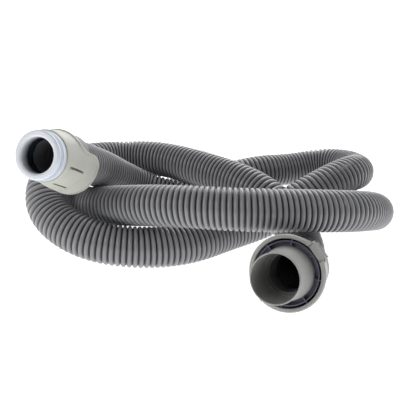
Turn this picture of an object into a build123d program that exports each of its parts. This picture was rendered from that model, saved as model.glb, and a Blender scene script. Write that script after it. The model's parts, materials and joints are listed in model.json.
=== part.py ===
"""Corrugated suction hose with a swivelling latch coupling at each end.

The row frame has +Z up and the floor at z = 0. The hose lies in loose loops. Its
raised end carries the handle coupling, and its end on the floor carries the cleaner
coupling. Each coupling has its own plane: the origin is the centre of the hose's cut
end, +Z runs out of the coupling's mouth, and +X points at its latch.
"""

import math
import os

from build123d import *

os.makedirs("parts", exist_ok=True)

# ---------------------------------------------------------------- hose
HOSE_RADIUS = 19.0
HOSE_BORE_RADIUS = 17.4
ARC_SHARE = 0.45
ROUTE = [
    (64.4, -97, 29.7), (77, -71, 20), (80, -32, 30), (49, 3, 60), (-3, 54, 67),
    (-59, 97, 69), (-102, 109, 64), (-137, 87, 68), (-159, 44, 72), (-166, 2, 66),
    (-157, -24, 47), (-121, -46, 33), (-76, -49, 24), (-28, -34, 21), (13, 3, 19),
    (55, 28, 22), (99, 33, 49), (142, 57, 62), (162, 86, 54), (156, 120, 51),
    (129, 142, 46), (93, 138, 40), (48, 119, 44), (-6, 107, 32), (-61, 101, 19),
    (-107, 89, 19), (-125, 68, 20), (-138, 45, 33), (-130, 17, 38), (-93, -21, 57),
    (-40, -51, 68), (21, -64, 69), (78, -57, 64), (122, -42, 59), (150, -9, 46),
    (167, 29, 29), (156, 62, 19), (123, 82, 19), (68, 79, 19), (5, 68, 19),
    (-51, 63, 32), (-94, 63, 51), (-118, 11, 90), (-134, -42, 109),
]

# ---------------------------------------------------------------- shared fits
RUNNING_GAP = 0.05
LOOSE_GAP = 0.1
GROOVE_DEPTH = 1.1
SPRING_WIRE = 0.7
SOCKET_RADIUS = HOSE_RADIUS + 0.15
GASKET = 1.5
SEAL_WIDTH = 2.0
BEARING_WIDTH = 3.8
SNAP_RING_WIDTH = 1.3

# ---------------------------------------------------------------- handle coupling
HANDLE_LATCH_ANGLE = -45
HANDLE_SOCKET = 12.0
HANDLE_CUFF_RADIUS = 21.2
HANDLE_CUFF_FRONT = 3.2
HANDLE_NECK_RADIUS = 17.2
HANDLE_NECK_FRONT = 22.0
HANDLE_BEARING_LOW = 8.0
HANDLE_SNAP_LOW = 4.4
HANDLE_BORE_RADIUS = 14.8
HANDLE_NOZZLE_RADIUS = 20.3
HANDLE_BAND_RADIUS = 20.8
HANDLE_MOUTH = 42.0
HANDLE_COLLAR_FRONT = 30.0
HANDLE_COLLAR_FRONT_RADIUS = 21.9
HANDLE_COLLAR_REAR = -24.0
HANDLE_COLLAR_REAR_RADIUS = 30.5
HANDLE_COLLAR_REAR_SHIFT = 6.5
HANDLE_COLLAR_WALL = 1.8
HANDLE_HUB_REAR = 6.0
RIM_CURVE = [(36, -6.2), (29, -6.5), (22.5, -6), (18.5, -3), (16, 2), (13, 8), (8, 11),
             (0, 12.3), (-10, 13), (-26, 13)]
LIP_HEIGHT = 0.9
LIP_WIDTH = 1.6
HANDLE_HUB_HOLLOW_RADIUS = 22.1
BUTTON_LOW, BUTTON_HIGH = 8.9, 25.1
BUTTON_HALF_WIDTH = 9.2
BUTTON_SLOT = 1.9
BUTTON_SEAM = 0.25
BUTTON_TRAVEL = 0.8
BUTTON_SPRING_RADIUS = 2.4
BUTTON_SPRING_INSIDE = 18.4
BUTTON_MIDDLE = (BUTTON_LOW + BUTTON_HIGH) / 2
BUTTON_WINDOW_INSIDE = 14.0

# ---------------------------------------------------------------- cleaner coupling
CLEANER_LATCH_ANGLE = 45
CLEANER_SOCKET = 16.0
CLEANER_CUFF_RADIUS = 24.4
CLEANER_CUFF_FRONT = 3.5
CLEANER_NECK_RADIUS = 18.0
CLEANER_NECK_FRONT = 24.0
CLEANER_NECK_BORE = 15.6
CLEANER_BEARING_LOW = 12.5
CLEANER_SNAP_LOW = 10.5
SPIGOT_MOUTH = 60.0
SPIGOT_RADIUS = 19.6
SPIGOT_BORE_RADIUS = 18.5
SPIGOT_NECK_SEAT_RADIUS = CLEANER_NECK_RADIUS + RUNNING_GAP
SPIGOT_CONE_FRONT = 37.0
SPIGOT_BODY_RADIUS = 21.6
SPIGOT_FLANGE_RADIUS = 25.0
SPIGOT_FLANGE_LOW, SPIGOT_FLANGE_HIGH = 3.8, 6.3
CLEANER_COLLAR_RADIUS = 31.0
CLEANER_COLLAR_BORE = 27.6
CLEANER_COLLAR_REAR_BORE = 26.0
CLEANER_COLLAR_REAR_RADIUS = 26.8
CLEANER_COLLAR_FRONT = 30.0
CLEANER_COLLAR_REAR = 1.0
CLEANER_COLLAR_MOUTH_RADIUS = 25.4
COLLAR_WEB_HIGH = 10.4
COLLAR_WEB_WINDOW = 26.0
EAR_LOW, EAR_HIGH = 13.0, 23.5
EAR_INSIDE, EAR_OUTSIDE = 26.7, 29.9
EAR_HALF_WIDTH = 9.3
SPRING_BOSS_INSIDE, SPRING_BOSS_HIGH = 23.7, 13.7
SPRING_BOSS_HALF_WIDTH = 3.2
RIB_RING_RADIUS = 25.9
RIB_COUNT = 8
RIB_THICKNESS = 0.9
RIB_RING_LOW, RIB_RING_HIGH = 22.0, 28.5
RIB_INSIDE, RIB_OUTSIDE = 22.3, CLEANER_COLLAR_BORE - 0.1
LATCH_WIDTH = 14.2
LATCH_LOW, LATCH_HIGH = 9.0, 29.0
LATCH_GRIP_COUNT = 5
LATCH_GRIP_PITCH = 2.2
LATCH_GRIP_LOW = 13.5
LATCH_INSIDE, LATCH_OUTSIDE = 27.0, 32.0
LATCH_REAR_OUTSIDE = 30.8
LATCH_RECESS_INSIDE, LATCH_RECESS_HIGH = 28.9, 14.0
LATCH_PIN_X, LATCH_PIN_Z = 28.6, 18.0
LATCH_PIN_RADIUS = 0.9
LATCH_PIN_LENGTH = 17.8
LATCH_SPRING_Z = 11.6
LATCH_SPRING_RADIUS = 1.7
LATCH_SPRING_INSIDE, LATCH_SPRING_OUTSIDE = 24.4, 27.6


def turned_about_axis(plane, angle):
    """Return a plane turned about its own +Z by an angle in degrees."""
    axis = Axis((0, 0, 0), plane.z_dir)
    return Plane(origin=plane.origin, x_dir=plane.x_dir.rotate(axis, angle), z_dir=plane.z_dir)


def coupling_plane(end, inner, latch_angle):
    """Return the plane of a coupling on the hose's end, its +X turned to the latch."""
    out = Vector(*end) - Vector(*inner)
    level = Vector(-out.Y, out.X, 0)
    return turned_about_axis(Plane(origin=end, x_dir=level, z_dir=out), latch_angle)


HANDLE = coupling_plane(ROUTE[-1], ROUTE[-2], HANDLE_LATCH_ANGLE)
CLEANER = coupling_plane(ROUTE[0], ROUTE[1], CLEANER_LATCH_ANGLE)
CLEANER_BACK = turned_about_axis(CLEANER, 180)


def side_plane(plane):
    """Return the plane holding a coupling's axis: sketch x is radius, y is along it."""
    return Plane(origin=plane.origin, x_dir=plane.x_dir, z_dir=-plane.y_dir)


def turned(plane, outline):
    """Return the solid made by turning an outline of (radius, height) about the axis."""
    with BuildPart() as solid:
        with BuildSketch(side_plane(plane)):
            with BuildLine():
                Polyline(*outline, close=True)
            make_face()
        revolve(axis=Axis(plane.origin, plane.z_dir))
    return solid.part


def ring_outline(inner, outer, low, high):
    """Return the section of a plain ring."""
    return [(inner, low), (outer, low), (outer, high), (inner, high)]


# ================================================================ hose
def bend_radii(points):
    """Return the radius of each arc: as large as the two runs beside it allow."""
    radii = []
    for before, here, after in zip(points, points[1:], points[2:]):
        first = Vector(*here) - Vector(*before)
        second = Vector(*after) - Vector(*here)
        half_turn = math.radians(first.get_angle(second) / 2)
        shorter = min(first.length, second.length)
        radii.append(ARC_SHARE * shorter / math.tan(half_turn))
    return radii


RADII = bend_radii(ROUTE)

with BuildPart() as hose:
    with BuildLine() as hose_path:
        FilletPolyline(*ROUTE, radius=RADII)
    with BuildSketch(Plane(origin=ROUTE[0], z_dir=hose_path.line % 0)):
        Circle(HOSE_RADIUS)
        Circle(HOSE_BORE_RADIUS, mode=Mode.SUBTRACT)
    sweep(path=hose_path.line)
hose.part.label = "hose"
export_step(hose.part, "parts/hose.step")

hose_length = hose_path.wire().length
hose_section = math.pi * (HOSE_RADIUS**2 - HOSE_BORE_RADIUS**2)
print("bend radii", [round(radius) for radius in RADII])
print("hose length", round(hose_length), "mm")
print("volume over section x length", round(hose.part.volume / (hose_section * hose_length), 4))


# ================================================================ shapes both ends share
def cuff(plane, socket, radius, front, neck_radius, neck_front, bore, bearing_low):
    """Return the rigid cuff on the hose: a socket behind, a swivel neck in front."""
    bearing_high = bearing_low + BEARING_WIDTH + 0.2
    seal_high = neck_front - 1.5
    seal_low = seal_high - SEAL_WIDTH - 0.2
    groove = neck_radius - GROOVE_DEPTH
    return turned(plane, [
        (SOCKET_RADIUS, -socket), (radius - 0.8, -socket), (radius, 1.6 - socket),
        (radius, front), (neck_radius, front), (neck_radius, bearing_low),
        (groove, bearing_low), (groove, bearing_high), (neck_radius, bearing_high),
        (neck_radius, seal_low), (groove, seal_low), (groove, seal_high),
        (neck_radius, seal_high), (neck_radius, neck_front), (bore, neck_front),
        (bore, GASKET), (SOCKET_RADIUS, GASKET),
    ])


def gasket(plane, bore):
    """Return the flat rubber ring between the hose's cut end and the cuff."""
    return turned(plane, ring_outline(bore, SOCKET_RADIUS - RUNNING_GAP, 0, GASKET))


def bearing_ring(plane, neck_radius, low):
    """Return the split plastic ring that locks the swivel along its axis."""
    inner = neck_radius - GROOVE_DEPTH + RUNNING_GAP
    outer = neck_radius + GROOVE_DEPTH - LOOSE_GAP
    with BuildPart() as solid:
        add(turned(plane, ring_outline(inner, outer, low + LOOSE_GAP,
                                       low + LOOSE_GAP + BEARING_WIDTH)))
        with BuildSketch(plane.offset(low)):
            with Locations((-neck_radius, 0)):
                Rectangle(6, 1.2)
        extrude(amount=BEARING_WIDTH + 1, mode=Mode.SUBTRACT)
    return solid.part


def swivel_seal(plane, neck_radius, neck_front):
    """Return the rubber ring in the neck's front groove."""
    high = neck_front - 1.6
    return turned(plane, ring_outline(neck_radius - GROOVE_DEPTH + RUNNING_GAP,
                                      neck_radius - 0.02, high - SEAL_WIDTH, high))


def radial_spring(plane, height, inside, outside, radius):
    """Return a plain tube standing in for a small coil spring that points outwards."""
    centre = plane.origin + plane.z_dir * height + plane.x_dir * inside
    with BuildPart() as solid:
        with BuildSketch(Plane(origin=centre, x_dir=plane.y_dir, z_dir=plane.x_dir)):
            Circle(radius)
            Circle(radius - SPRING_WIRE, mode=Mode.SUBTRACT)
        extrude(amount=outside - inside)
    return solid.part


# ================================================================ handle coupling
with BuildPart() as handle_cuff:
    add(cuff(HANDLE, HANDLE_SOCKET, HANDLE_CUFF_RADIUS, HANDLE_CUFF_FRONT, HANDLE_NECK_RADIUS,
             HANDLE_NECK_FRONT, HANDLE_BORE_RADIUS, HANDLE_BEARING_LOW))
handle_cuff.part.label = "handle_cuff"
export_step(handle_cuff.part, "parts/handle_cuff.step")

with BuildPart() as handle_hose_gasket:
    add(gasket(HANDLE, HANDLE_BORE_RADIUS + 1.5))
handle_hose_gasket.part.label = "handle_hose_gasket"
export_step(handle_hose_gasket.part, "parts/handle_hose_gasket.step")

with BuildPart() as handle_bearing_ring:
    add(bearing_ring(HANDLE, HANDLE_NECK_RADIUS, HANDLE_BEARING_LOW))
handle_bearing_ring.part.label = "handle_bearing_ring"
export_step(handle_bearing_ring.part, "parts/handle_bearing_ring.step")

with BuildPart() as handle_swivel_seal:
    add(swivel_seal(HANDLE, HANDLE_NECK_RADIUS, HANDLE_NECK_FRONT))
handle_swivel_seal.part.label = "handle_swivel_seal"
export_step(handle_swivel_seal.part, "parts/handle_swivel_seal.step")

# The nozzle turns on the cuff's neck. Its front band and lip stand out of the collar.
nozzle_inner = HANDLE_NECK_RADIUS + RUNNING_GAP
nozzle_groove = HANDLE_NECK_RADIUS + GROOVE_DEPTH
nozzle_bearing_high = HANDLE_BEARING_LOW + BEARING_WIDTH + 0.2
snap_groove_high = HANDLE_SNAP_LOW + SNAP_RING_WIDTH + LOOSE_GAP
with BuildPart() as handle_nozzle:
    add(turned(HANDLE, [
        (nozzle_inner, HANDLE_CUFF_FRONT + 0.3), (HANDLE_NOZZLE_RADIUS, HANDLE_CUFF_FRONT + 0.3),
        (HANDLE_NOZZLE_RADIUS, HANDLE_SNAP_LOW), (HANDLE_NOZZLE_RADIUS - 0.8, HANDLE_SNAP_LOW),
        (HANDLE_NOZZLE_RADIUS - 0.8, snap_groove_high), (HANDLE_NOZZLE_RADIUS, snap_groove_high),
        (HANDLE_NOZZLE_RADIUS, HANDLE_COLLAR_FRONT + 0.3),
        (HANDLE_BAND_RADIUS, HANDLE_COLLAR_FRONT + 0.8), (HANDLE_BAND_RADIUS, 35.4),
        (19.0, 35.8), (19.0, 37.4), (20.3, 37.8), (20.3, 40.6), (19.3, 41.7),
        (18.0, HANDLE_MOUTH), (16.4, HANDLE_MOUTH), (15.4, 41.4), (HANDLE_BORE_RADIUS, 40.4),
        (HANDLE_BORE_RADIUS, HANDLE_NECK_FRONT + 0.5), (nozzle_inner, HANDLE_NECK_FRONT + 0.5),
        (nozzle_inner, nozzle_bearing_high), (nozzle_groove, nozzle_bearing_high),
        (nozzle_groove, HANDLE_BEARING_LOW), (nozzle_inner, HANDLE_BEARING_LOW),
    ]))
    # The release spring's pocket.
    with BuildSketch(Plane(origin=HANDLE.origin + HANDLE.z_dir * BUTTON_MIDDLE
                           + HANDLE.x_dir * BUTTON_SPRING_INSIDE,
                           x_dir=HANDLE.y_dir, z_dir=HANDLE.x_dir)):
        Circle(BUTTON_SPRING_RADIUS + LOOSE_GAP)
    extrude(amount=4, mode=Mode.SUBTRACT)
handle_nozzle.part.label = "handle_nozzle"
export_step(handle_nozzle.part, "parts/handle_nozzle.step")

with BuildPart() as handle_nozzle_seal:
    add(turned(HANDLE, ring_outline(19.05, 20.5, 35.95, 37.25)))
handle_nozzle_seal.part.label = "handle_nozzle_seal"
export_step(handle_nozzle_seal.part, "parts/handle_nozzle_seal.step")


def hood(shrink):
    """Return the collar's flared body, its radius made smaller by the given amount."""
    with BuildPart() as solid:
        with BuildSketch(HANDLE.offset(HANDLE_COLLAR_FRONT)):
            Circle(HANDLE_COLLAR_FRONT_RADIUS - shrink)
        with BuildSketch(HANDLE.offset(HANDLE_COLLAR_REAR)):
            with Locations((HANDLE_COLLAR_REAR_SHIFT, 0)):
                Circle(HANDLE_COLLAR_REAR_RADIUS - shrink)
        loft()
    return solid.part


def behind_rim(lift):
    """Return the space behind the collar's S-shaped rear rim, moved forward by lift."""
    side = side_plane(HANDLE)
    origin = side.origin + HANDLE.z_dir * lift
    with BuildPart() as solid:
        with BuildSketch(Plane(origin=origin, x_dir=side.x_dir, z_dir=side.z_dir)):
            with BuildLine():
                Spline(*RIM_CURVE)
                Polyline(RIM_CURVE[-1], (-45, RIM_CURVE[-1][1]), (-45, -45), (45, -45),
                         (45, RIM_CURVE[0][1]), RIM_CURVE[0])
            make_face()
        extrude(amount=45, both=True)
    return solid.part


# The rim's lip stands a little proud of the hood.
with BuildPart() as rim_lip:
    add(hood(-LIP_HEIGHT))
    add(hood(0.5), mode=Mode.SUBTRACT)
    add(behind_rim(LIP_WIDTH), mode=Mode.INTERSECT)
    add(behind_rim(0), mode=Mode.SUBTRACT)

with BuildPart() as handle_collar:
    add(hood(0))
    # The hollow behind the front hub opens to the rear.
    with BuildSketch(HANDLE.offset(HANDLE_HUB_REAR)):
        Circle(HANDLE_HUB_HOLLOW_RADIUS)
    with BuildSketch(HANDLE.offset(HANDLE_COLLAR_REAR - 0.5)):
        with Locations((HANDLE_COLLAR_REAR_SHIFT, 0)):
            Circle(HANDLE_COLLAR_REAR_RADIUS - HANDLE_COLLAR_WALL)
    loft(mode=Mode.SUBTRACT)
    # The nozzle fills the hub's bore.
    with BuildSketch(HANDLE.offset(HANDLE_COLLAR_FRONT + 1)):
        Circle(HANDLE_NOZZLE_RADIUS + LOOSE_GAP)
    extrude(amount=-30, mode=Mode.SUBTRACT)
    # The rear rim runs in an S from the long latch side to the short far side.
    add(behind_rim(0), mode=Mode.SUBTRACT)
    add(rim_lip.part)
    # The button's window leaves an open slot on both sides of the button.
    with BuildSketch(HANDLE.offset(BUTTON_LOW - BUTTON_SEAM)):
        with Locations((26, 0)):
            Rectangle(2 * (26 - BUTTON_WINDOW_INSIDE), 2 * (BUTTON_HALF_WIDTH + BUTTON_SLOT))
    extrude(amount=BUTTON_HIGH - BUTTON_LOW + 2 * BUTTON_SEAM, mode=Mode.SUBTRACT)
handle_collar.part.label = "handle_collar"
export_step(handle_collar.part, "parts/handle_collar.step")

with BuildPart() as handle_release_button:
    add(hood(0))
    add(hood(HANDLE_COLLAR_WALL), mode=Mode.SUBTRACT)
    with BuildSketch(HANDLE.offset(BUTTON_LOW)):
        with Locations((25, 0)):
            Rectangle(20, 2 * BUTTON_HALF_WIDTH)
    extrude(amount=BUTTON_HIGH - BUTTON_LOW, mode=Mode.INTERSECT)
handle_release_button.part.label = "handle_release_button"
export_step(handle_release_button.part, "parts/handle_release_button.step")

# The spring stands in the nozzle's pocket, at its length with the button pressed home.
spring_share = (HANDLE_COLLAR_FRONT - BUTTON_MIDDLE - BUTTON_SPRING_RADIUS) / (
    HANDLE_COLLAR_FRONT - HANDLE_COLLAR_REAR)
hood_flare = HANDLE_COLLAR_REAR_RADIUS + HANDLE_COLLAR_REAR_SHIFT - HANDLE_COLLAR_FRONT_RADIUS
button_face = HANDLE_COLLAR_FRONT_RADIUS - HANDLE_COLLAR_WALL + spring_share * hood_flare
button_spring_outside = button_face - BUTTON_TRAVEL - 0.4
with BuildPart() as handle_release_spring:
    add(radial_spring(HANDLE, BUTTON_MIDDLE, BUTTON_SPRING_INSIDE, button_spring_outside,
                      BUTTON_SPRING_RADIUS))
handle_release_spring.part.label = "handle_release_spring"
export_step(handle_release_spring.part, "parts/handle_release_spring.step")

snap_low = HANDLE_SNAP_LOW + RUNNING_GAP
with BuildPart() as handle_snap_ring:
    add(turned(HANDLE, ring_outline(HANDLE_NOZZLE_RADIUS - 0.75, HANDLE_NOZZLE_RADIUS + 0.9,
                                    snap_low, snap_low + SNAP_RING_WIDTH)))
handle_snap_ring.part.label = "handle_snap_ring"
export_step(handle_snap_ring.part, "parts/handle_snap_ring.step")

# ================================================================ cleaner coupling
LATCH_SIDE = side_plane(CLEANER)

with BuildPart() as cleaner_cuff:
    add(cuff(CLEANER, CLEANER_SOCKET, CLEANER_CUFF_RADIUS, CLEANER_CUFF_FRONT, CLEANER_NECK_RADIUS,
             CLEANER_NECK_FRONT, CLEANER_NECK_BORE, CLEANER_BEARING_LOW))
cleaner_cuff.part.label = "cleaner_cuff"
export_step(cleaner_cuff.part, "parts/cleaner_cuff.step")

with BuildPart() as cleaner_hose_gasket:
    add(gasket(CLEANER, CLEANER_NECK_BORE))
cleaner_hose_gasket.part.label = "cleaner_hose_gasket"
export_step(cleaner_hose_gasket.part, "parts/cleaner_hose_gasket.step")

with BuildPart() as cleaner_bearing_ring:
    add(bearing_ring(CLEANER, CLEANER_NECK_RADIUS, CLEANER_BEARING_LOW))
cleaner_bearing_ring.part.label = "cleaner_bearing_ring"
export_step(cleaner_bearing_ring.part, "parts/cleaner_bearing_ring.step")

with BuildPart() as cleaner_swivel_seal:
    add(swivel_seal(CLEANER, CLEANER_NECK_RADIUS, CLEANER_NECK_FRONT))
cleaner_swivel_seal.part.label = "cleaner_swivel_seal"
export_step(cleaner_swivel_seal.part, "parts/cleaner_swivel_seal.step")

# The spigot plugs into the cleaner. A thin flange at its rear closes the collar.
spigot_seat_high = CLEANER_NECK_FRONT + 0.5
spigot_snap_high = CLEANER_SNAP_LOW + SNAP_RING_WIDTH + LOOSE_GAP
spigot_groove = CLEANER_NECK_RADIUS + GROOVE_DEPTH
spigot_bearing_high = CLEANER_BEARING_LOW + BEARING_WIDTH + 0.2
with BuildPart() as cleaner_spigot:
    add(turned(CLEANER, [
        (SPIGOT_NECK_SEAT_RADIUS, SPIGOT_FLANGE_LOW), (SPIGOT_FLANGE_RADIUS, SPIGOT_FLANGE_LOW),
        (SPIGOT_FLANGE_RADIUS, SPIGOT_FLANGE_HIGH), (SPIGOT_BODY_RADIUS, SPIGOT_FLANGE_HIGH),
        (SPIGOT_BODY_RADIUS, CLEANER_SNAP_LOW), (SPIGOT_BODY_RADIUS - 0.8, CLEANER_SNAP_LOW),
        (SPIGOT_BODY_RADIUS - 0.8, spigot_snap_high), (SPIGOT_BODY_RADIUS, spigot_snap_high),
        (SPIGOT_BODY_RADIUS, 28.0), (SPIGOT_RADIUS + 0.9, SPIGOT_CONE_FRONT),
        (SPIGOT_RADIUS, SPIGOT_MOUTH - 13),
        (SPIGOT_RADIUS, SPIGOT_MOUTH - 0.5), (SPIGOT_RADIUS - 0.5, SPIGOT_MOUTH),
        (SPIGOT_BORE_RADIUS + 0.5, SPIGOT_MOUTH), (SPIGOT_BORE_RADIUS, SPIGOT_MOUTH - 0.5),
        (SPIGOT_BORE_RADIUS, spigot_seat_high), (SPIGOT_NECK_SEAT_RADIUS, spigot_seat_high),
        (SPIGOT_NECK_SEAT_RADIUS, spigot_bearing_high), (spigot_groove, spigot_bearing_high),
        (spigot_groove, CLEANER_BEARING_LOW), (SPIGOT_NECK_SEAT_RADIUS, CLEANER_BEARING_LOW),
    ]))
cleaner_spigot.part.label = "cleaner_spigot"
export_step(cleaner_spigot.part, "parts/cleaner_spigot.step")


def at_both_latches(width, low, high, inside):
    """Return two blocks across the coupling, one at each latch, for cutting windows."""
    outside = CLEANER_COLLAR_RADIUS + 5
    with BuildPart() as solid:
        with BuildSketch(CLEANER.offset(low)):
            with Locations(((inside + outside) / 2, 0), (-(inside + outside) / 2, 0)):
                Rectangle(outside - inside, width)
        extrude(amount=high - low)
    return solid.part


# Eight ribs stand on a ring round the spigot, in the dark gap inside the collar.
with BuildPart() as cleaner_rib_ring:
    add(turned(CLEANER, [
        (SPIGOT_BODY_RADIUS + LOOSE_GAP, RIB_RING_LOW), (RIB_RING_RADIUS, RIB_RING_LOW),
        (RIB_RING_RADIUS, RIB_RING_HIGH), (RIB_RING_RADIUS - 1, RIB_RING_HIGH),
        (RIB_RING_RADIUS - 1, RIB_RING_LOW + 2), (SPIGOT_BODY_RADIUS + LOOSE_GAP, RIB_RING_LOW + 2),
    ]))
    with BuildSketch(CLEANER.offset(RIB_RING_LOW + 1)):
        with PolarLocations((RIB_INSIDE + RIB_OUTSIDE) / 2, RIB_COUNT):
            Rectangle(RIB_OUTSIDE - RIB_INSIDE, RIB_THICKNESS)
    extrude(amount=RIB_RING_HIGH - RIB_RING_LOW - 1)
    add(at_both_latches(LATCH_WIDTH + 0.8, RIB_RING_LOW - 1, RIB_RING_HIGH + 1,
                        LATCH_INSIDE - 0.7), mode=Mode.SUBTRACT)
cleaner_rib_ring.part.label = "cleaner_rib_ring"
export_step(cleaner_rib_ring.part, "parts/cleaner_rib_ring.step")

with BuildPart() as cleaner_collar:
    add(turned(CLEANER, [
        (CLEANER_COLLAR_MOUTH_RADIUS, CLEANER_COLLAR_REAR),
        (CLEANER_COLLAR_REAR_RADIUS - 0.6, CLEANER_COLLAR_REAR),
        (CLEANER_COLLAR_REAR_RADIUS, CLEANER_COLLAR_REAR + 1),
        (CLEANER_COLLAR_RADIUS, CLEANER_COLLAR_FRONT - 1.5),
        (CLEANER_COLLAR_RADIUS - 1, CLEANER_COLLAR_FRONT),
        (CLEANER_COLLAR_BORE + 0.4, CLEANER_COLLAR_FRONT),
        (CLEANER_COLLAR_BORE, CLEANER_COLLAR_FRONT - 0.4),
        (CLEANER_COLLAR_BORE, RIB_RING_LOW),
        (CLEANER_COLLAR_REAR_BORE, COLLAR_WEB_HIGH),
        (SPIGOT_BODY_RADIUS + LOOSE_GAP, COLLAR_WEB_HIGH),
        (SPIGOT_BODY_RADIUS + LOOSE_GAP, SPIGOT_FLANGE_HIGH + LOOSE_GAP),
        (CLEANER_COLLAR_MOUTH_RADIUS, SPIGOT_FLANGE_HIGH + LOOSE_GAP),
    ]))
    # The ears beside each latch hold its pin, and a boss under it holds its spring.
    with BuildSketch(CLEANER.offset(EAR_LOW)):
        for side in (1, -1):
            with Locations((side * (EAR_INSIDE + EAR_OUTSIDE) / 2, 0)):
                Rectangle(EAR_OUTSIDE - EAR_INSIDE, 2 * EAR_HALF_WIDTH)
    extrude(amount=EAR_HIGH - EAR_LOW)
    with BuildSketch(CLEANER.offset(COLLAR_WEB_HIGH - 1)):
        for side in (1, -1):
            with Locations((side * (SPRING_BOSS_INSIDE + COLLAR_WEB_WINDOW) / 2, 0)):
                Rectangle(COLLAR_WEB_WINDOW - SPRING_BOSS_INSIDE, 2 * SPRING_BOSS_HALF_WIDTH)
    extrude(amount=SPRING_BOSS_HIGH - COLLAR_WEB_HIGH + 1)
    add(at_both_latches(LATCH_WIDTH + 0.8, LATCH_LOW - 1, CLEANER_COLLAR_FRONT + 1,
                        COLLAR_WEB_WINDOW), mode=Mode.SUBTRACT)
    # Each latch turns on a pin across its window, held in the collar's wall.
    with BuildSketch(LATCH_SIDE):
        with Locations((LATCH_PIN_X, LATCH_PIN_Z), (-LATCH_PIN_X, LATCH_PIN_Z)):
            Circle(LATCH_PIN_RADIUS)
    extrude(amount=LATCH_PIN_LENGTH / 2, both=True, mode=Mode.SUBTRACT)
    # The latch springs stand in pockets in the web.
    for plane in (CLEANER, CLEANER_BACK):
        with BuildSketch(Plane(origin=plane.origin + plane.z_dir * LATCH_SPRING_Z
                               + plane.x_dir * LATCH_SPRING_INSIDE,
                               x_dir=plane.y_dir, z_dir=plane.x_dir)):
            Circle(LATCH_SPRING_RADIUS + LOOSE_GAP)
        extrude(amount=COLLAR_WEB_WINDOW - LATCH_SPRING_INSIDE, mode=Mode.SUBTRACT)
cleaner_collar.part.label = "cleaner_collar"
export_step(cleaner_collar.part, "parts/cleaner_collar.step")

snap_low = CLEANER_SNAP_LOW + RUNNING_GAP
with BuildPart() as cleaner_snap_ring:
    add(turned(CLEANER, ring_outline(SPIGOT_BODY_RADIUS - 0.75, SPIGOT_BODY_RADIUS + 1.9,
                                     snap_low, snap_low + SNAP_RING_WIDTH)))
cleaner_snap_ring.part.label = "cleaner_snap_ring"
export_step(cleaner_snap_ring.part, "parts/cleaner_snap_ring.step")


def latch(plane):
    """Return a latch rocker: a thick front with a pin hole, a thin rear, a ribbed grip."""
    half = LATCH_WIDTH / 2
    with BuildPart() as solid:
        with BuildSketch(side_plane(plane)):
            with BuildLine():
                Polyline((LATCH_RECESS_INSIDE, LATCH_LOW), (LATCH_REAR_OUTSIDE - 1, LATCH_LOW),
                         (LATCH_REAR_OUTSIDE, LATCH_LOW + 1.5), (LATCH_OUTSIDE, LATCH_HIGH - 3),
                         (LATCH_OUTSIDE - 1.8, LATCH_HIGH), (LATCH_INSIDE, LATCH_HIGH),
                         (LATCH_INSIDE, LATCH_RECESS_HIGH),
                         (LATCH_RECESS_INSIDE, LATCH_RECESS_HIGH), close=True)
            make_face()
            with Locations((LATCH_PIN_X, LATCH_PIN_Z)):
                Circle(LATCH_PIN_RADIUS + RUNNING_GAP, mode=Mode.SUBTRACT)
            with Locations(*[(LATCH_REAR_OUTSIDE + 1, LATCH_GRIP_LOW + LATCH_GRIP_PITCH * i)
                             for i in range(LATCH_GRIP_COUNT)]):
                Rectangle(2.4, LATCH_GRIP_PITCH / 2, mode=Mode.SUBTRACT)
        extrude(amount=half, both=True)
    return solid.part


with BuildPart() as cleaner_latch_upper:
    add(latch(CLEANER))
cleaner_latch_upper.part.label = "cleaner_latch_upper"
export_step(cleaner_latch_upper.part, "parts/cleaner_latch_upper.step")

with BuildPart() as cleaner_latch_lower:
    add(latch(CLEANER_BACK))
cleaner_latch_lower.part.label = "cleaner_latch_lower"
export_step(cleaner_latch_lower.part, "parts/cleaner_latch_lower.step")

with BuildPart() as cleaner_latch_pins:
    with BuildSketch(LATCH_SIDE):
        with Locations((LATCH_PIN_X, LATCH_PIN_Z), (-LATCH_PIN_X, LATCH_PIN_Z)):
            Circle(LATCH_PIN_RADIUS)
    extrude(amount=LATCH_PIN_LENGTH / 2, both=True)
cleaner_latch_pins.part.label = "cleaner_latch_pins"
export_step(cleaner_latch_pins.part, "parts/cleaner_latch_pins.step")

# The springs are at their length with the latches pressed home.
with BuildPart() as cleaner_upper_latch_spring:
    add(radial_spring(CLEANER, LATCH_SPRING_Z, LATCH_SPRING_INSIDE, LATCH_SPRING_OUTSIDE,
                      LATCH_SPRING_RADIUS))
cleaner_upper_latch_spring.part.label = "cleaner_upper_latch_spring"
export_step(cleaner_upper_latch_spring.part, "parts/cleaner_upper_latch_spring.step")

with BuildPart() as cleaner_lower_latch_spring:
    add(radial_spring(CLEANER_BACK, LATCH_SPRING_Z, LATCH_SPRING_INSIDE, LATCH_SPRING_OUTSIDE,
                      LATCH_SPRING_RADIUS))
cleaner_lower_latch_spring.part.label = "cleaner_lower_latch_spring"
export_step(cleaner_lower_latch_spring.part, "parts/cleaner_lower_latch_spring.step")
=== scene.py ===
"""Dress a corrugated suction hose and its two swivel couplings for a studio picture."""

import json
import logging
import math
from dataclasses import dataclass, field
from enum import Enum

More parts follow.
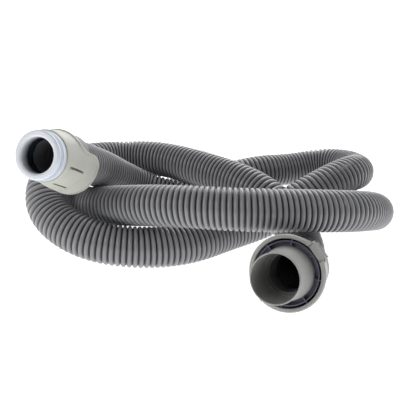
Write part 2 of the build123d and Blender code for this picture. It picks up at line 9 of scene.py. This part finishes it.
import bpy
import numpy as np
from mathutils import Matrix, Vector


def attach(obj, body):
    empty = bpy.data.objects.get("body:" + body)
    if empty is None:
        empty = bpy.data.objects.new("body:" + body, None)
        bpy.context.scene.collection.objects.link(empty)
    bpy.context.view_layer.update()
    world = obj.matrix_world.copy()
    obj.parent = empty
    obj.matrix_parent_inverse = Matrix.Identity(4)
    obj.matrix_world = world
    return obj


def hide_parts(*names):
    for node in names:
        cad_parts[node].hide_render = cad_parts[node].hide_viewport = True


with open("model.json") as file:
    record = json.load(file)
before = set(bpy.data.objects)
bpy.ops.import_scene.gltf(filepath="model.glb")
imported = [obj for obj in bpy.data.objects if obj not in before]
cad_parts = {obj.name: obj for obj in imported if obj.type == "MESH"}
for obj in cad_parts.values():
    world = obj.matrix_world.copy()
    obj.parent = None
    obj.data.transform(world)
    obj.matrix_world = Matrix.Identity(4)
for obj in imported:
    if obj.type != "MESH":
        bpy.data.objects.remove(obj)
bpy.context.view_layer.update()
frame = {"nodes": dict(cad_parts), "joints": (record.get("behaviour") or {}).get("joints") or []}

LOG = logging.getLogger("suction_hose")
MM = 0.001

# The hose's line from its cleaner end to its handle end, in metres.
ROUTE = [
    (0.0644, -0.097, 0.0297), (0.077, -0.071, 0.02), (0.080, -0.032, 0.03), (0.049, 0.003, 0.06),
    (-0.003, 0.054, 0.0655), (-0.059, 0.097, 0.0672), (-0.102, 0.109, 0.064), (-0.137, 0.087, 0.068),
    (-0.159, 0.044, 0.072), (-0.166, 0.002, 0.066), (-0.157, -0.024, 0.047), (-0.121, -0.046, 0.033),
    (-0.076, -0.049, 0.0252), (-0.028, -0.034, 0.021), (0.013, 0.003, 0.019), (0.055, 0.028, 0.022),
    (0.099, 0.033, 0.049), (0.142, 0.057, 0.062), (0.162, 0.086, 0.054), (0.156, 0.120, 0.051),
    (0.129, 0.142, 0.046), (0.093, 0.138, 0.040), (0.048, 0.119, 0.044), (-0.006, 0.107, 0.032),
    (-0.061, 0.101, 0.019), (-0.107, 0.089, 0.019), (-0.125, 0.068, 0.02), (-0.143, 0.045, 0.034),
    (-0.136, 0.017, 0.040), (-0.093, -0.021, 0.0565), (-0.040, -0.051, 0.068), (0.021, -0.064, 0.069),
    (0.078, -0.057, 0.0655), (0.122, -0.042, 0.059), (0.150, -0.009, 0.046), (0.167, 0.029, 0.029),
    (0.156, 0.062, 0.019), (0.123, 0.082, 0.019), (0.068, 0.079, 0.019), (0.005, 0.068, 0.019),
    (-0.051, 0.063, 0.032), (-0.094, 0.063, 0.051), (-0.118, 0.011, 0.0862), (-0.134, -0.042, 0.109),
]


class Roots(str, Enum):
    """The body that a new piece rides on."""

    HOSE = "hose_and_cuffs"


# ------------------------------------------------------------------ small tools
def linear(colour: str) -> tuple[float, float, float, float]:
    """Turn an sRGB hex colour into linear RGBA.

    Args:
        colour: Six hex digits with a leading hash.

    Returns:
        Four linear values, the last one 1.
    """
    parts = [int(colour[i:i + 2], 16) / 255 for i in (1, 3, 5)]
    level = [c / 12.92 if c <= 0.04045 else ((c + 0.055) / 1.055) ** 2.4 for c in parts]
    return (level[0], level[1], level[2], 1.0)


def add_node(tree: bpy.types.NodeTree, kind: str, settings: dict | None = None,
             inputs: dict | None = None) -> bpy.types.Node:
    """Add one shader node with its settings, input values and links.

    Args:
        tree: The node tree to add to.
        kind: The node's type name.
        settings: Properties of the node itself.
        inputs: Socket name or index to a value, or to an output socket to link.

    Returns:
        The new node.
    """
    node = tree.nodes.new(kind)
    for key, value in (settings or {}).items():
        setattr(node, key, value)
    for key, value in (inputs or {}).items():
        if isinstance(value, bpy.types.NodeSocket):
            tree.links.new(value, node.inputs[key])
        else:
            node.inputs[key].default_value = value
    return node


def mesh_piece(name: str, points: np.ndarray, faces: list,
               finish: bpy.types.Material) -> bpy.types.Object:
    """Make a smooth-shaded mesh object from points and faces.

    Args:
        name: The piece's name.
        points: Points in metres, one row each.
        faces: Lists of point numbers.
        finish: The piece's material.

    Returns:
        The new object, linked to the scene.
    """
    mesh = bpy.data.meshes.new(name)
    mesh.from_pydata([tuple(p) for p in points], [], faces)
    mesh.materials.append(finish)
    mesh.polygons.foreach_set("use_smooth", [True] * len(mesh.polygons))
    mesh.update()
    piece = bpy.data.objects.new(name, mesh)
    bpy.context.scene.collection.objects.link(piece)
    return piece


# ------------------------------------------------------------------ the couplings' axes
@dataclass
class CouplingAxes:
    """A coupling's own axes: the origin on its axis, z out of its mouth, x to its latch."""

    origin: Vector
    x: Vector
    z: Vector

    @property
    def y(self) -> Vector:
        """Return the third axis."""
        return self.z.cross(self.x)

    def at(self, x: float, y: float, z: float) -> Vector:
        """Return the place of a point given in millimetres on the coupling's axes."""
        return self.origin + (self.x * x + self.y * y + self.z * z) * MM

    @staticmethod
    def of(swivel: str, latch: Vector) -> "CouplingAxes":
        """Return the axes from a swivel joint.

        Args:
            swivel: The swivel joint's name.
            latch: A direction that points from the axis to the latch.

        Returns:
            The axes, with the origin where the joint stands.
        """
        joint = next(j for j in frame["joints"] if j["name"] == swivel)
        z = Vector(joint["axis"]).normalized()
        x = (latch - z * latch.dot(z)).normalized()
        return CouplingAxes(Vector(joint["pos_m"]), x, z)


def joint_axis(name: str) -> Vector:
    """Return the axis of a joint."""
    return Vector(next(j for j in frame["joints"] if j["name"] == name)["axis"])


def latch_side() -> Vector:
    """Return the direction from the cleaner coupling's axis to its upper latch."""
    joint = next(j for j in frame["joints"] if j["name"] == "latch_upper_press")
    swivel = next(j for j in frame["joints"] if j["name"] == "cleaner_swivel")
    return Vector(joint["pos_m"]) - Vector(swivel["pos_m"])


HANDLE_AXES = CouplingAxes.of("handle_swivel", -joint_axis("handle_release"))
CLEANER_AXES = CouplingAxes.of("cleaner_swivel", latch_side())
# Both swivel joints stand 12 mm in front of the hose's cut end.
SWIVEL_MM = 12.0
HANDLE_MOUTH_MM = 42.0 - SWIVEL_MM
CLEANER_MOUTH_MM = 60.0 - SWIVEL_MM


# ------------------------------------------------------------------ finishes
@dataclass(frozen=True)
class MouldedPlastic:
    """An injection-moulded plastic with a fine sparked grain and faint flow clouds."""

    name: str
    colour: str
    shade: str
    roughness: float
    grain_mm: float = 0.5
    grain_depth_mm: float = 0.01
    cloud_mm: float = 14.0
    ior: float = 1.53
    # How far the roughness wanders either way with the grain.
    wander: float = 0.05

    def make(self) -> bpy.types.Material:
        """Return the material."""
        material = bpy.data.materials.new(self.name)
        material.use_nodes = True
        tree = material.node_tree
        shader = tree.nodes["Principled BSDF"]
        place = add_node(tree, "ShaderNodeTexCoord")
        cloud = add_node(tree, "ShaderNodeTexNoise", inputs={
            "Vector": place.outputs["Object"], "Scale": 1 / (self.cloud_mm * MM), "Detail": 3.0})
        tint = add_node(tree, "ShaderNodeMix", {"data_type": "RGBA"}, {
            "Factor": cloud.outputs["Fac"], 6: linear(self.shade), 7: linear(self.colour)})
        grain = add_node(tree, "ShaderNodeTexNoise", inputs={
            "Vector": place.outputs["Object"], "Scale": 1 / (self.grain_mm * MM), "Detail": 4.0})
        bump = add_node(tree, "ShaderNodeBump", inputs={
            "Height": grain.outputs["Fac"], "Strength": 0.5,
            "Distance": self.grain_depth_mm * MM})
        rough = add_node(tree, "ShaderNodeMapRange", inputs={
            "Value": grain.outputs["Fac"], "To Min": self.roughness - self.wander,
            "To Max": self.roughness + self.wander})
        tree.links.new(tint.outputs[2], shader.inputs["Base Color"])
        tree.links.new(rough.outputs[0], shader.inputs["Roughness"])
        tree.links.new(bump.outputs[0], shader.inputs["Normal"])
        shader.inputs["IOR"].default_value = self.ior
        return material


@dataclass(frozen=True)
class HosePlastic:
    """Blown EVA hose: satin, with painted shade that darkens the bottom of each groove."""

    name: str = "hose_eva"
    colour: str = "#a0a0a3"
    shade: str = "#959598"
    groove_shade_colour: str = "#2c2c2f"
    roughness: float = 0.22
    cloud_mm: float = 40.0
    scuff_mm: float = 1.2
    scuff_depth_mm: float = 0.02
    ior: float = 1.49

    def make(self) -> bpy.types.Material:
        """Return the material, which reads the mesh's groove attribute."""
        material = bpy.data.materials.new(self.name)
        material.use_nodes = True
        tree = material.node_tree
        shader = tree.nodes["Principled BSDF"]
        place = add_node(tree, "ShaderNodeTexCoord")
        cloud = add_node(tree, "ShaderNodeTexNoise", inputs={
            "Vector": place.outputs["Object"], "Scale": 1 / (self.cloud_mm * MM), "Detail": 3.0})
        body = add_node(tree, "ShaderNodeMix", {"data_type": "RGBA"}, {
            "Factor": cloud.outputs["Fac"], 6: linear(self.shade), 7: linear(self.colour)})
        groove = add_node(tree, "ShaderNodeAttribute", {"attribute_name": "groove"})
        # Painted shade: the colour goes near-black towards the bottom of each groove.
        skin = add_node(tree, "ShaderNodeMix", {"data_type": "RGBA"}, {
            "Factor": groove.outputs["Fac"], 6: body.outputs[2],
            7: linear(self.groove_shade_colour)})
        scuff = add_node(tree, "ShaderNodeTexNoise", inputs={
            "Vector": place.outputs["Object"], "Scale": 1 / (self.scuff_mm * MM), "Detail": 5.0})
        rough = add_node(tree, "ShaderNodeMapRange", inputs={
            "Value": scuff.outputs["Fac"], "To Min": self.roughness - 0.06,
            "To Max": self.roughness + 0.08})
        bump = add_node(tree, "ShaderNodeBump", inputs={
            "Height": scuff.outputs["Fac"], "Strength": 0.3,
            "Distance": self.scuff_depth_mm * MM})
        tree.links.new(skin.outputs[2], shader.inputs["Base Color"])
        tree.links.new(rough.outputs[0], shader.inputs["Roughness"])
        tree.links.new(bump.outputs[0], shader.inputs["Normal"])
        shader.inputs["IOR"].default_value = self.ior
        return material


@dataclass(frozen=True)
class ShadedBoreAcetal:
    """White acetal ring, pale at its mouth, with painted shade that darkens it down its bore."""

    name: str = "nozzle_acetal"
    colour: str = "#f4f7fb"
    edge: str = "#e4ecf8"
    bore_shade: str = "#26303c"
    roughness: float = 0.25
    ior: float = 1.48
    cloud_mm: float = 6.0
    # The ring turns cooler between these two radii.
    inner_mm: float = 17.5
    outer_mm: float = 20.3
    # The bore's surface, and the depths where the painted shade starts and where it is fully dark.
    bore_mm: float = 15.3
    pale_mm: float = 2.5
    dark_mm: float = 11.0

    def make(self, axes: "CouplingAxes", mouth_mm: float) -> bpy.types.Material:
        """Return the material.

        Args:
            axes: The coupling's axes.
            mouth_mm: How far the mouth stands from the axes' origin.
        """
        material = bpy.data.materials.new(self.name)
        material.use_nodes = True
        tree = material.node_tree
        shader = tree.nodes["Principled BSDF"]
        place = add_node(tree, "ShaderNodeTexCoord")
        mouth = axes.at(0, 0, mouth_mm)
        off = add_node(tree, "ShaderNodeVectorMath", {"operation": "SUBTRACT"},
                       {0: place.outputs["Object"], 1: tuple(mouth)})
        height = add_node(tree, "ShaderNodeVectorMath", {"operation": "DOT_PRODUCT"},
                          {0: off.outputs[0], 1: tuple(axes.z)})
        lift = add_node(tree, "ShaderNodeVectorMath", {"operation": "SCALE"},
                        {0: tuple(axes.z), "Scale": height.outputs["Value"]})
        spoke = add_node(tree, "ShaderNodeVectorMath", {"operation": "SUBTRACT"},
                         {0: off.outputs[0], 1: lift.outputs[0]})
        radius = add_node(tree, "ShaderNodeVectorMath", {"operation": "LENGTH"},
                          {0: spoke.outputs[0]})
        # Painted shade: the bore darkens with depth below the mouth.
        depth = add_node(tree, "ShaderNodeMapRange", inputs={
            "Value": height.outputs["Value"], "From Min": -self.pale_mm * MM,
            "From Max": -self.dark_mm * MM})
        inside = add_node(tree, "ShaderNodeMath", {"operation": "LESS_THAN"},
                          {0: radius.outputs["Value"], 1: self.bore_mm * MM})
        bore_shade_mask = add_node(tree, "ShaderNodeMath", {"operation": "MULTIPLY"},
                        {0: depth.outputs[0], 1: inside.outputs[0]})
        cloud = add_node(tree, "ShaderNodeTexNoise", inputs={
            "Vector": place.outputs["Object"], "Scale": 1 / (self.cloud_mm * MM),
            "Detail": 3.0})
        ring = add_node(tree, "ShaderNodeMapRange", inputs={
            "Value": radius.outputs["Value"], "From Min": self.inner_mm * MM,
            "From Max": self.outer_mm * MM})
        wash = add_node(tree, "ShaderNodeMath", {"operation": "MULTIPLY_ADD"},
                        {0: cloud.outputs["Fac"], 1: 0.25, 2: 0.0})
        blue = add_node(tree, "ShaderNodeMath", {"operation": "ADD", "use_clamp": True},
                        {0: wash.outputs[0], 1: ring.outputs[0]})
        pale = add_node(tree, "ShaderNodeMix", {"data_type": "RGBA"}, {
            "Factor": blue.outputs[0], 6: linear(self.colour), 7: linear(self.edge)})
        skin = add_node(tree, "ShaderNodeMix", {"data_type": "RGBA"}, {
            "Factor": bore_shade_mask.outputs[0], 6: pale.outputs[2], 7: linear(self.bore_shade)})
        tree.links.new(skin.outputs[2], shader.inputs["Base Color"])
        shader.inputs["Roughness"].default_value = self.roughness
        shader.inputs["IOR"].default_value = self.ior
        return material


@dataclass(frozen=True)
class SpringSteel:
    """Drawn spring steel, bright with fine lines along the wire."""

    name: str = "spring_steel"
    colour: str = "#c9c9cb"
    roughness: float = 0.28
    line_mm: float = 0.15

    def make(self) -> bpy.types.Material:
        """Return the material."""
        material = bpy.data.materials.new(self.name)
        material.use_nodes = True
        tree = material.node_tree
        shader = tree.nodes["Principled BSDF"]
        place = add_node(tree, "ShaderNodeTexCoord")
        lines = add_node(tree, "ShaderNodeTexNoise", inputs={
            "Vector": place.outputs["Object"], "Scale": 1 / (self.line_mm * MM)})
        rough = add_node(tree, "ShaderNodeMapRange", inputs={
            "Value": lines.outputs["Fac"], "To Min": self.roughness - 0.08,
            "To Max": self.roughness + 0.1})
        tree.links.new(rough.outputs[0], shader.inputs["Roughness"])
        shader.inputs["Base Color"].default_value = linear(self.colour)
        shader.inputs["Metallic"].default_value = 1.0
        return material


class Finishes:
    """Every finish on the object, made once."""

    def __init__(self) -> None:
        """Make the materials."""
        # Satin grey EVA, which shows soft wide highlights on its ribs.
        self.hose = HosePlastic().make()
        # Polypropylene cuffs, a shade smoother than the hose they hold.
        self.cuff = MouldedPlastic("cuff_pp", "#8b8b8d", "#828284", 0.42).make()
        # White acetal nozzle with a cool edge, and painted shade that darkens its bore.
        self.nozzle = ShadedBoreAcetal().make(HANDLE_AXES, HANDLE_MOUTH_MM)
        # Neutral light-grey ABS with a fine sparked grain, a little glossy.
        self.collar = MouldedPlastic("collar_abs", "#d2d3ca", "#c6c7be", 0.36,
                                     grain_depth_mm=0.02).make()
        # The same ABS, a shade darker and more neutral, on the cleaner coupling.
        self.cleaner_collar = MouldedPlastic("cleaner_collar_abs", "#b8b8b5", "#acaca9", 0.38,
                                             grain_depth_mm=0.02).make()
        # Grey ABS spigot, smoother than the collar.
        self.spigot = MouldedPlastic("spigot_abs", "#b2b2b0", "#a8a8a6", 0.34).make()
        # Blue-grey ABS of the recessed ring, made darker as painted shade in its recess.
        self.ring = MouldedPlastic("ring_abs_shaded", "#6b6c7c", "#5d5e6d", 0.42).make()
        # Natural acetal bearing rings.
        self.bearing = MouldedPlastic("bearing_acetal", "#dddcd6", "#d3d2cc", 0.4).make()
        # Pale silicone ring in the nozzle's groove, and black nitrile seals elsewhere.
        self.nozzle_seal = MouldedPlastic("seal_silicone", "#e2e9f4", "#d6e0ef", 0.3,
                                          ior=1.41).make()
        self.seal = MouldedPlastic("seal_nitrile", "#1c1c1d", "#161617", 0.62, ior=1.52).make()
        self.steel = SpringSteel().make()


def dress(node: str, finish: bpy.types.Material) -> None:
    """Give a CAD node its finish.

    Args:
        node: The node's name.
        finish: The material that fills its slots.
    """
    mesh = frame["nodes"][node].data
    mesh.materials.clear()
    mesh.materials.append(finish)


# ------------------------------------------------------------------ the hose
@dataclass
class CorrugatedHose:
    """The flexible hose, its wall blown into one long helical rib."""

    finish: bpy.types.Material
    radius_mm: float = 19.0
    pitch_mm: float = 4.8
    groove_depth_mm: float = 2.3
    around: int = 48
    station_mm: float = 0.8
    # An odd count of stations that the line's direction is averaged over.
    average: int = 9
    # Share of a pitch, and share of the groove's depth there.
    profile: tuple = field(default=((0.0, 1.0), (0.08, 0.88), (0.17, 0.38), (0.28, 0.11),
                                    (0.5, 0.0), (0.72, 0.11), (0.83, 0.38), (0.92, 0.88)))

    def line(self) -> np.ndarray:
        """Return points along the hose's smooth line, in metres."""
        data = bpy.data.curves.new("hose_route", "CURVE")
        data.dimensions = "3D"
        data.resolution_u = 24
        spline = data.splines.new("NURBS")
        spline.points.add(len(ROUTE) - 1)
        for point, place in zip(spline.points, ROUTE):
            point.co = (*place, 1.0)
        spline.order_u = 3
        spline.use_endpoint_u = True
        route = bpy.data.objects.new("hose_route", data)
        mesh = bpy.data.meshes.new_from_object(route)
        points = np.array([tuple(v.co) for v in mesh.vertices])
        bpy.data.meshes.remove(mesh)
        bpy.data.objects.remove(route)
        bpy.data.curves.remove(data)
        return points

    def stations(self, points: np.ndarray) -> tuple:
        """Return the distance, place and two cross directions at points along the line.

        Args:
            points: Points along the line.

        Returns:
            Distances, places, first directions and second directions.
        """
        steps = np.linalg.norm(np.diff(points, axis=0), axis=1)
        along = np.concatenate([[0.0], np.cumsum(steps)])
        count = int(along[-1] / (self.station_mm * MM))
        distance = np.linspace(0.0, along[-1], count)
        place = np.column_stack([np.interp(distance, along, points[:, i]) for i in range(3)])
        kernel = np.hanning(self.average) / np.hanning(self.average).sum()
        side = self.average // 2
        padded = np.vstack([np.repeat(place[:1], side, 0), place,
                            np.repeat(place[-1:], side, 0)])
        smooth = np.column_stack([np.convolve(padded[:, i], kernel, "valid") for i in range(3)])
        tangent = np.gradient(smooth, axis=0)
        tangent /= np.linalg.norm(tangent, axis=1)[:, None]
        first = np.zeros_like(place)
        first[0] = np.cross(tangent[0], (0.0, 0.0, 1.0))
        for i in range(count):
            carried = first[max(i - 1, 0)]
            carried = carried - tangent[i] * carried.dot(tangent[i])
            first[i] = carried / np.linalg.norm(carried)
        return distance, place, first, np.cross(tangent, first)

    def build(self) -> bpy.types.Object:
        """Return the corrugated hose, which stands in for the hidden CAD tube."""
        points = self.line()
        distance, place, first, second = self.stations(points)
        length = distance[-1]
        pitch = self.pitch_mm * MM
        turns = int(length / pitch) + 2
        per_turn = len(self.profile)
        share = np.array([p[0] for p in self.profile])
        depth = np.array([p[1] for p in self.profile])
        rows = (np.arange(turns)[:, None] + share[None, :]).ravel() * pitch - pitch
        depths = np.tile(depth, turns)
        angle = np.arange(self.around) / self.around
        # Each row climbs one pitch as it goes round, so the rib is one helix.
        s = np.clip(rows[:, None] + pitch * angle[None, :], 0.0, length)
        radius = self.radius_mm * MM - self.groove_depth_mm * MM * depths[:, None]
        radius = np.repeat(radius, self.around, axis=1)
        turn = 2 * math.pi * angle[None, :]
        cross = [radius * np.cos(turn), radius * np.sin(turn)]
        out = np.zeros((*s.shape, 3))
        for i in range(3):
            out[..., i] = (np.interp(s, distance, place[:, i])
                           + cross[0] * np.interp(s, distance, first[:, i])
                           + cross[1] * np.interp(s, distance, second[:, i]))
        faces = []
        last = len(rows) - per_turn - 1
        for r in range(last):
            for a in range(self.around):
                b = (a + 1) % self.around
                lift = per_turn if b == 0 else 0
                # A row that has come round joins the row one whole pitch further on.
                faces.append((r * self.around + a, (r + lift) * self.around + b,
                              (r + lift + 1) * self.around + b, (r + 1) * self.around + a))
        piece = mesh_piece("corrugated_hose", out.reshape(-1, 3), faces, self.finish)
        groove = piece.data.attributes.new("groove", "FLOAT", "POINT")
        groove.data.foreach_set("value", np.repeat(depths, self.around).astype(np.float32))
        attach(piece, Roots.HOSE.value)
        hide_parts("hose")
        LOG.info("corrugated hose, %.0f mm long, %d ribs", length / MM, turns)
        return piece


# ------------------------------------------------------------------ the couplings
@dataclass
class HandleCoupling:
    """The coupling on the raised end: a white nozzle in a flared collar with a button."""

    finishes: Finishes

    def dress(self) -> None:
        """Give each CAD piece its finish."""
        dress("handle_cuff", self.finishes.cuff)
        dress("handle_hose_gasket", self.finishes.seal)
        dress("handle_bearing_ring", self.finishes.bearing)
        dress("handle_swivel_seal", self.finishes.seal)
        dress("handle_nozzle", self.finishes.nozzle)
        dress("handle_nozzle_seal", self.finishes.nozzle_seal)
        dress("handle_collar", self.finishes.collar)
        dress("handle_release_button", self.finishes.collar)
        dress("handle_release_spring", self.finishes.steel)
        dress("handle_snap_ring", self.finishes.steel)


@dataclass
class CleanerCoupling:
    """The coupling on the floor: a spigot in a collar with two spring latches."""

    finishes: Finishes

    def dress(self) -> None:
        """Give each CAD piece its finish."""
        dress("cleaner_cuff", self.finishes.cuff)
        dress("cleaner_hose_gasket", self.finishes.seal)
        dress("cleaner_bearing_ring", self.finishes.bearing)
        dress("cleaner_swivel_seal", self.finishes.seal)
        dress("cleaner_spigot", self.finishes.spigot)
        dress("cleaner_rib_ring", self.finishes.ring)
        dress("cleaner_collar", self.finishes.cleaner_collar)
        dress("cleaner_snap_ring", self.finishes.steel)
        dress("cleaner_latch_upper", self.finishes.cleaner_collar)
        dress("cleaner_latch_lower", self.finishes.cleaner_collar)
        dress("cleaner_latch_pins", self.finishes.steel)
        dress("cleaner_upper_latch_spring", self.finishes.steel)
        dress("cleaner_lower_latch_spring", self.finishes.steel)


# ------------------------------------------------------------------ the studio
@dataclass
class Studio:
    """A white sweep, two soft lights and the camera."""

    floor_m: float = 60.0
    floor_glow: float = 0.88
    room_front: float = 0.1
    room_back: float = 1.5
    room_top: float = 0.45
    camera_place_mm: tuple = (-15.0, -514.0, 251.0)
    pitch_down_deg: float = 21.0
    lens_mm: float = 50.97

    def floor(self) -> None:
        """Lay the white floor."""
        half = self.floor_m / 2
        material = bpy.data.materials.new("white_floor")
        material.use_nodes = True
        shader = material.node_tree.nodes["Principled BSDF"]
        shader.inputs["Base Color"].default_value = linear("#e8e8e8")
        shader.inputs["Roughness"].default_value = 1.0
        shader.inputs["Specular IOR Level"].default_value = 0.0
        shader.inputs["Emission Color"].default_value = (1.0, 1.0, 1.0, 1.0)
        shader.inputs["Emission Strength"].default_value = self.floor_glow
        points = np.array([(-half, -half, 0), (half, -half, 0), (half, half, 0), (-half, half, 0)])
        mesh_piece("studio_floor", points, [(0, 1, 2, 3)], material)

    def soft_light(self, name: str, place: tuple, size: float, power: float) -> None:
        """Hang an area light that points at the object.

        Args:
            name: The light's name.
            place: Its place in metres.
            size: Its side in metres.
            power: Its power in watts.
        """
        data = bpy.data.lights.new(name, "AREA")
        data.size = size
        data.energy = power
        lamp = bpy.data.objects.new(name, data)
        lamp.location = place
        lamp.rotation_euler = (-Vector(place)).to_track_quat("-Z", "Y").to_euler()
        bpy.context.scene.collection.objects.link(lamp)

    def surround(self) -> None:
        """Fill the room with white light: bright behind the object and dim above and in front."""
        world = bpy.data.worlds.new("white_room")
        world.use_nodes = True
        tree = world.node_tree
        place = add_node(tree, "ShaderNodeTexCoord")
        parts = add_node(tree, "ShaderNodeSeparateXYZ", inputs={0: place.outputs["Generated"]})
        back = add_node(tree, "ShaderNodeMapRange", {"interpolation_type": "SMOOTHSTEP"}, {
            "Value": parts.outputs["Y"], "From Min": -0.7, "From Max": 0.9,
            "To Min": self.room_front, "To Max": self.room_back})
        top = add_node(tree, "ShaderNodeMapRange", {"interpolation_type": "SMOOTHSTEP"}, {
            "Value": parts.outputs["Z"], "From Min": 0.15, "From Max": 0.9,
            "To Min": 1.0, "To Max": self.room_top})
        glow = add_node(tree, "ShaderNodeMath", {"operation": "MULTIPLY"},
                        {0: back.outputs[0], 1: top.outputs[0]})
        # The backdrop itself stays plain white, however dim the room is that lights the hose.
        ray = add_node(tree, "ShaderNodeLightPath")
        plain = add_node(tree, "ShaderNodeMath", {"operation": "MAXIMUM"},
                         {0: glow.outputs[0], 1: ray.outputs["Is Camera Ray"]})
        tree.links.new(plain.outputs[0], tree.nodes["Background"].inputs["Strength"])
        tree.nodes["Background"].inputs["Color"].default_value = (1.0, 1.0, 1.0, 1.0)
        bpy.context.scene.world = world

    def camera(self) -> None:
        """Stand the camera in front, looking a little down."""
        data = bpy.data.cameras.new("camera")
        data.lens = self.lens_mm
        data.sensor_width = 36.0
        camera = bpy.data.objects.new("camera", data)
        camera.location = Vector(self.camera_place_mm) * MM
        camera.rotation_euler = (math.radians(90 - self.pitch_down_deg), 0.0, 0.0)
        bpy.context.scene.collection.objects.link(camera)
        bpy.context.scene.camera = camera

    def build(self) -> None:
        """Set the whole studio up."""
        self.floor()
        self.surround()
        self.soft_light("left_front", (-0.9, -0.7, 0.9), 0.5, 4.0)
        self.soft_light("back_above", (0.3, 1.0, 1.0), 1.0, 8.0)
        bpy.context.scene.view_settings.view_transform = "Standard"
        self.camera()


def main() -> None:
    """Build every sub-assembly in order."""
    logging.basicConfig(level=logging.INFO, format="%(message)s")
    finishes = Finishes()
    CorrugatedHose(finishes.hose).build()
    HandleCoupling(finishes).dress()
    LOG.info("handle coupling dressed")
    CleanerCoupling(finishes).dress()
    LOG.info("cleaner coupling dressed")
    Studio().build()


if __name__ == "__main__":
    main()
